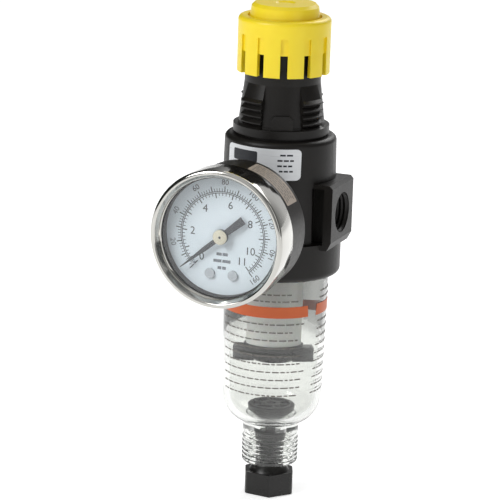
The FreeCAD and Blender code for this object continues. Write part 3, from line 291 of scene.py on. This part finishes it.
def turned(outline, axis, steps):
    """Spins a closed outline of (radius, along) millimetres about "X", "Z" or the gauge's "G"."""
    way = {"X": Vector((1, 0, 0)), "Z": Vector((0, 0, 1)), "G": Vector((0, -1, 0))}[axis]
    out = Vector((0, 0, 1)) if axis != "Z" else Vector((1, 0, 0))
    shape = bmesh.new()
    points = [shape.verts.new((out * r + way * h) * MM) for r, h in outline]
    edges = [shape.edges.new((p, points[(i + 1) % len(points)])) for i, p in enumerate(points)]
    bmesh.ops.spin(shape, geom=points + edges, cent=(0, 0, 0), axis=way, angle=TURN, steps=steps,
                   use_merge=True)
    return shape


def sheet_patch(shape, across, up, thickness=0.03, corner=0.0, step=0.6):
    """Adds a thin flat rectangle to a bmesh, to be wrapped: X across, Y up, Z proud, in mm."""
    patch = bmesh.new()
    made = bmesh.ops.create_grid(patch, x_segments=1, y_segments=1, size=0.5)
    bmesh.ops.scale(patch, verts=made["verts"], vec=(across[1] - across[0], up[1] - up[0], 1))
    bmesh.ops.translate(patch, verts=made["verts"], vec=(sum(across) / 2, sum(up) / 2, 0))
    if corner:
        bmesh.ops.bevel(patch, geom=patch.verts[:], offset=corner, segments=6, profile=0.5,
                        affect="VERTICES", material=-1)
    for i in range(1, max(1, round((across[1] - across[0]) / step))):
        bmesh.ops.bisect_plane(patch, geom=patch.verts[:] + patch.edges[:] + patch.faces[:],
                               plane_co=(across[0] + i * step, 0, 0), plane_no=(1, 0, 0))
    raised = bmesh.ops.extrude_face_region(patch, geom=patch.faces[:], use_keep_orig=True)
    top = [v for v in raised["geom"] if isinstance(v, bmesh.types.BMVert)]
    bmesh.ops.translate(patch, verts=top, vec=(0, 0, thickness))
    mesh = bpy.data.meshes.new("patch")
    patch.to_mesh(mesh)
    patch.free()
    shape.from_mesh(mesh)
    bpy.data.meshes.remove(mesh)


def wrap(shape, radius_at, toward=0.0, about="Z"):
    """Bends flat patches around the main axis, or around the gauge's, and puts them in metres.

    X becomes arc length from the direction toward (degrees from the front, or from the top of the
    gauge), Y the height, and Z the distance proud of radius_at(height).
    """
    start = math.radians(toward)
    for v in shape.verts:
        r = radius_at(v.co.y)
        turn = start + v.co.x / r
        far = r + v.co.z
        if about == "Z":
            v.co = Vector((far * math.sin(turn), -far * math.cos(turn), v.co.y)) * MM
        else:
            v.co = Vector((far * math.sin(turn), -v.co.y, far * math.cos(turn))) * MM


def lettering_row(shape, across, height, size, seed, word, gap):
    """Adds one row of blank bars as long as words, where small print would be."""
    draw = random.Random(seed)
    at, end = across
    while at < end - word[0]:
        width = min(draw.uniform(*word), end - at)
        sheet_patch(shape, (at, at + width), (height - size / 2, height + size / 2), step=0.9)
        at += width + gap


# ---------------------------------------------------------------- bowl

# The bowl is turned again with 120 steps, so that what is behind it bends smoothly, and with the
# thread on its drain neck. Radii, heights and the thread are in millimetres.
BOWL_TOP, BOWL_FOOT = 17.45, 16.35
SHOULDER, CURVE = -21.8, -64.0
FILM_LIFT = 0.05
NECK, THREAD_ROOT, THREAD_PITCH, NECK_FIRST_RING = 9.3, 8.92, 1.41, -79.4


def arc(centre, radius, start, end, steps):
    """Points of an arc, in degrees from the radial direction."""
    turns = [math.radians(start + (end - start) * i / steps) for i in range(steps + 1)]
    return [(centre[0] + radius * math.cos(t), centre[1] + radius * math.sin(t)) for t in turns]


def bowl_radius(height):
    """The radius at which print lies on the bowl, which narrows a little toward its foot."""
    share = min(max((height - CURVE) / (SHOULDER - CURVE), 0), 1)
    return BOWL_FOOT + FILM_LIFT + (BOWL_TOP - BOWL_FOOT) * share


neck_threads = []
for ring in range(5):
    low = NECK_FIRST_RING - THREAD_PITCH * ring
    neck_threads += [(NECK, low), (NECK, low - 0.35), (THREAD_ROOT, low - 0.62),
                     (THREAD_ROOT, low - 0.95), (NECK, low - 1.22)]
outline = [(18.1, -12.8), (18.1, -20.8), (BOWL_TOP, SHOULDER), (BOWL_FOOT, CURVE)]
outline += arc((6.35, CURVE), 10.0, 0, -72, 10) + [(NECK, -74.2), (NECK, -76.8)]
outline += [(8.9, -77.1), (8.9, -78.4), (NECK, -78.8)] + neck_threads
outline += [(NECK, -86.9), (8.9, -87.5), (8.4, -87.7), (6.7, -87.7), (6.7, -76.2), (3.4, -76.2),
            (3.4, -71.8)]
outline += arc((6.35, CURVE), 7.8, -90, 0, 8) + [(15.25, -21.6), (15.25, -13.8), (15.25, -12.8)]
bowl = settle("bowl_shell", turned(outline, "Z", 120), "root", clear_bowl)
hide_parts("bowl")

# Blank grey bars stand where the bowl's instructions are printed, and a plain orange band goes all
# round among them.
SEAM = 66.0  # where the film's ends meet, in degrees from the front
FILM_RADIUS, SEAM_GAP, MARGIN = 17.0, 1.2, 1.5
film_reach = TURN * FILM_RADIUS / 2 - SEAM_GAP
print_rows = [-26.3, -28.6, -36.4, -39.1, -41.8, -44.5, -47.2, -49.9, -52.6, -55.3, -58.0, -60.7]
# one block beside the seam and one across the front; the rest of the film is clear
print_blocks = ((MARGIN - film_reach, 17.5 - film_reach), (19.0, film_reach - MARGIN))
words = bmesh.new()
for index, height in enumerate(print_rows):
    ragged = random.Random(40 + index)
    for block, (low, high) in enumerate(print_blocks):
        lettering_row(words, (low, high - ragged.uniform(0, 5)), height, 0.45,
                      100 + 9 * index + block, (0.9, 2.8), 0.5)
wrap(words, bowl_radius, SEAM + 180)
settle("bowl_small_print", words, "root", grey_ink)
band = bmesh.new()
sheet_patch(band, (-film_reach, film_reach), (-34.2, -30.4), step=1.2)
wrap(band, bowl_radius, SEAM + 180)
settle("bowl_orange_band", band, "root", orange_ink)


# ---------------------------------------------------------------- ports

def port_thread(name, side):
    """A ring-cut pipe thread just inside a port's mouth."""
    wall, root, crest = 6.58, 6.5, 6.05
    edge = [(wall, 21.9)]
    for ring in range(7):
        start = 21.6 - THREAD_PITCH * ring
        edge += [(root, start), (crest, start - 0.55), (crest, start - 0.75), (root, start - 1.3)]
    edge += [(wall, edge[-1][1])]
    shape = turned([(r, side * h) for r, h in edge], "X", 72)
    settle(name, shape, "root", black_nylon)


port_thread("outlet_thread", 1)
port_thread("inlet_thread", -1)


# ---------------------------------------------------------------- knob

# The black locking crown on the bonnet's neck, which fills what the knob's slots look in on.
crown = turned([(11.0, 46.95), (12.3, 46.95), (12.3, 54.0), (11.9, 54.4), (11.0, 54.4)], "Z", 96)
settle("bonnet_lock_crown", crown, "root", black_nylon)


# ---------------------------------------------------------------- gauge

# The bezel is turned again with 144 steps, so that its mirror stays smooth.
LIP = 52.8
bezel_outline = [(21.2, 44.8), (21.7, 44.8), (22.05, 45.0), (22.2, 45.4), (22.2, 54.4)]
bezel_outline += arc((21.2, 54.5), 1.0, 0, 60, 6) + arc((21.1, 54.9), 0.7, 80, 150, 5)
bezel_outline += [(20.1, 53.6), (19.5, LIP + 0.1), (19.4, LIP), (21.2, LIP)]
bezel = settle("polished_bezel", turned(bezel_outline, "G", 144), "root",
               bright_chrome, sharp=50)
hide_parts("bezel")

# The scales, in degrees clockwise from the top, and the radii and widths of their lines.
PSI_ZERO, PSI_STEP, PSI_END = -137.4, 1.73, 160
BAR = 14.504  # psi in a bar
PSI_RING, BAR_RING, RING_WIDTH = 14.05, 13.6, 0.22
LINE_WIDTH = (0.19, 0.32)  # minor, major
FACE = 48.6
PROUD = 0.04  # how far ink stands off the dial


def dial_block(shape, across, up, turn=0.0):
    """One printed block on the dial, turned clockwise from the top."""
    made = bmesh.ops.create_cube(shape, size=1)
    bmesh.ops.scale(shape, verts=made["verts"], vec=(across[1] - across[0], PROUD, up[1] - up[0]))
    bmesh.ops.translate(shape, verts=made["verts"],
                        vec=(sum(across) / 2, -FACE - PROUD / 2, sum(up) / 2))
    bmesh.ops.rotate(shape, verts=made["verts"], cent=(0, 0, 0),
                     matrix=Matrix.Rotation(math.radians(turn), 3, "Y"))
    bmesh.ops.scale(shape, verts=made["verts"], vec=(MM, MM, MM))


def dial_line(shape, turn, inner, outer, major):
    """One line of a scale, from an inner to an outer radius."""
    half = LINE_WIDTH[major] / 2
    dial_block(shape, (-half, half), (inner, outer), turn)


scale_lines = bmesh.new()
for psi in range(0, PSI_END + 1, 2):
    major = psi % 10 == 0
    dial_line(scale_lines, PSI_ZERO + PSI_STEP * psi, PSI_RING, 15.9 if major else 15.2, major)
for fifth in range(56):
    major = fifth % 5 == 0
    dial_line(scale_lines, PSI_ZERO + PSI_STEP * BAR * fifth / 5, 12.1 if major else 12.8, 13.65,
              major)
settle("dial_scale", scale_lines, "root", dial_ink)

for name, radius in (("dial_outer_line", PSI_RING), ("dial_inner_line", BAR_RING)):
    line = bmesh.new()
    start = Matrix.Rotation(math.radians(PSI_ZERO), 3, "Y")
    corners = ((radius, FACE), (radius + RING_WIDTH, FACE), (radius + RING_WIDTH, FACE + PROUD),
               (radius, FACE + PROUD))
    face = line.faces.new([line.verts.new(start @ Vector((0, -y, r)) * MM) for r, y in corners])
    bmesh.ops.spin(line, geom=[face], cent=(0, 0, 0), axis=(0, 1, 0), steps=110,
                   angle=math.radians(PSI_STEP * PSI_END))
    settle(name, line, "root", dial_ink)

# The pointer's hub: a cream plastic button with a dark staked centre.
hub = turned([(0.0001, 51.12), (2.35, 51.12), (2.35, 51.22), (1.9, 51.34), (0.0001, 51.38)],
             "G", 48)
settle("pointer_hub", hub, "pointer", hub_cream)
centre = turned([(0.0001, 51.385), (0.42, 51.385), (0.36, 51.46), (0.0001, 51.47)], "G", 24)
settle("pointer_arbor_end", centre, "pointer", dial_ink)


def number(text, size, turn, radius, material, upright=False):
    """A number printed on the dial, upright or turned with the scale."""
    curve = bpy.data.curves.new("digits", "FONT")
    curve.body = text
    curve.size = size * MM
    curve.align_x, curve.align_y = "CENTER", "CENTER"
    curve.extrude = PROUD * MM / 2
    curve.resolution_u = 3
    holder = bpy.data.objects.new("digits", curve)
    bpy.context.scene.collection.objects.link(holder)
    bpy.context.view_layer.update()
    mesh = bpy.data.meshes.new_from_object(holder)
    bpy.data.objects.remove(holder)
    angle = math.radians(turn)
    facing = Matrix.Rotation(math.pi / 2, 4, "X")
    # numbers in the lower half stand on their outer edge, so that none is upside down
    lean = angle - math.copysign(math.pi, angle) if abs(turn) > 90 else angle
    tilt = Matrix.Identity(4) if upright else Matrix.Rotation(lean, 4, "Y")
    place = Vector((radius * math.sin(angle), -FACE - PROUD / 2, radius * math.cos(angle))) * MM
    mesh.transform(Matrix.Translation(place) @ tilt @ facing)
    shape = bmesh.new()
    shape.from_mesh(mesh)
    bpy.data.meshes.remove(mesh)
    name = f"dial_number_{text}_{'bar' if upright else 'psi'}"
    settle(name, shape, "root", material, sharp=30)


for bar in (0, 2, 4, 6, 8, 10, 11):
    number(str(bar), 3.5, PSI_ZERO + PSI_STEP * BAR * bar, 10.2, dial_ink, upright=True)
for psi in range(20, PSI_END + 1, 20):
    number(str(psi), 2.5, PSI_ZERO + PSI_STEP * psi, 17.2, pale_ink if psi < 60 else dial_ink)

# Blank bars where the units stand.
units = bmesh.new()
UNIT_HALF_HEIGHT, WORD_GAP = 0.475, 0.15
for row, half in ((-6.0, 1.9), (-8.2, 2.9), (-10.4, 1.4)):
    for across in ((-half, -WORD_GAP), (WORD_GAP, half)):
        dial_block(units, across, (row - UNIT_HALF_HEIGHT, row + UNIT_HALF_HEIGHT))
settle("dial_unit_bars", units, "root", pale_ink)

# A paper label on the case, with blank print.
LABEL_AIM = 37  # degrees clockwise from the top
PAPER_RADIUS, PAPER_PRINT_RADIUS = 21.12, 21.18
paper = bmesh.new()
sheet_patch(paper, (-9.0, 9.0), (33.4, 41.6), corner=0.6, thickness=0.05)
wrap(paper, lambda depth: PAPER_RADIUS, LABEL_AIM, about="G")
settle("case_label", paper, "root", label_paper)
case_print = bmesh.new()
for index in range(5):
    lettering_row(case_print, (-8.0, 8.0), 34.9 + 1.35 * index, 0.5, 300 + index, (0.7, 2.0), 0.4)
wrap(case_print, lambda depth: PAPER_PRINT_RADIUS, LABEL_AIM, about="G")
settle("case_label_print", case_print, "root", grey_ink)


# ---------------------------------------------------------------- nameplate

BARREL_FOOT, BARREL_TOP = (18.9, -9.5), (18.2, 24.2)  # radius and height
FOIL_LIFT, FOIL = 0.02, 0.2


def barrel_radius(height):
    """The body's radius under the nameplate, where it tapers."""
    share = (height - BARREL_FOOT[1]) / (BARREL_TOP[1] - BARREL_FOOT[1])
    return BARREL_FOOT[0] + (BARREL_TOP[0] - BARREL_FOOT[0]) * share + FOIL_LIFT


def foil_radius(height):
    return barrel_radius(height) + FOIL


plate = bmesh.new()
half_plate = math.radians(42) * 18.4  # half its sweep, at its middle radius
sheet_patch(plate, (-half_plate, half_plate), (12.2, 22.3), thickness=FOIL, corner=1.5, step=1.0)
wrap(plate, barrel_radius)
plate = settle("foil_nameplate", plate, "root", brushed_foil)
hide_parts("nameplate")
block = bmesh.new()
sheet_patch(block, (-10.6, -1.0), (17.5, 21.1), corner=0.5, step=0.8)
wrap(block, foil_radius)
settle("nameplate_block", block, "root", dial_ink)
plate_print = bmesh.new()
for index, (start, end) in enumerate(((6.6, 11.2), (5.8, 11.6), (5.8, 11.2), (6.4, 11.4))):
    lettering_row(plate_print, (start, end), 20.4 - 1.75 * index, 0.55, 500 + index, (1.0, 2.0),
                  0.4)
wrap(plate_print, foil_radius)
settle("nameplate_print", plate_print, "root", dial_ink)


# ---------------------------------------------------------------- floor and world

floor_shape = bmesh.new()
bmesh.ops.create_grid(floor_shape, x_segments=1, y_segments=1, size=4)
floor_mesh = bpy.data.meshes.new("floor")
bmesh.ops.translate(floor_shape, verts=floor_shape.verts, vec=(0, 0, cad_box[0][2] - 0.0002))
floor_shape.to_mesh(floor_mesh)
floor_shape.free()
floor = bpy.data.objects.new("floor", floor_mesh)
bpy.context.scene.collection.objects.link(floor)
# White studio paper: matt, even and very pale.
floor_mesh.materials.append(finish("studio_paper", "#FAFAFA", "#F4F4F4", (0.9, 1.0), patch=300,
                                   grain=40, height=0.0, Emission_Color=(1, 1, 1, 1),
                                   Emission_Strength=0.5))

world = bpy.data.worlds.new("studio")
world.use_nodes = True
bpy.context.scene.world = world
sky = world.node_tree
way = add(sky, "TexCoord").outputs["Generated"]
split = add(sky, "SeparateXYZ", Vector=way)
# The room: a dark wall to the left and a grey one to the right, so that polished metal and the
# bowl's edges have something dark to mirror and bend. The camera itself sees a white backdrop.
across = add(sky, "MapRange", {1: -1.0, 2: 1.0}, _0=split.outputs["X"]).outputs[0]
walls = add(sky, "ValToRGB", _0=across)
stops = walls.color_ramp.elements
stops[0].position, stops[0].color = 0.10, (0.02, 0.025, 0.022, 1)
stops[1].position, stops[1].color = 0.90, (0.16, 0.16, 0.16, 1)
for position, grey in ((0.30, 0.10), (0.40, 0.62), (0.60, 0.62), (0.70, 0.26)):
    stop = stops.new(position)
    stop.color = (grey, grey, grey, 1)
seen = add(sky, "LightPath").outputs["Is Camera Ray"]
shown = add(sky, "Mix", {"data_type": "RGBA", 7: (1, 1, 1, 1)}, _0=seen, _6=walls.outputs[0])
backing = sky.nodes["Background"]
sky.links.new(shown.outputs[2], backing.inputs["Color"])
backing.inputs["Strength"].default_value = 1.0

bpy.context.scene.view_settings.view_transform = "Standard"
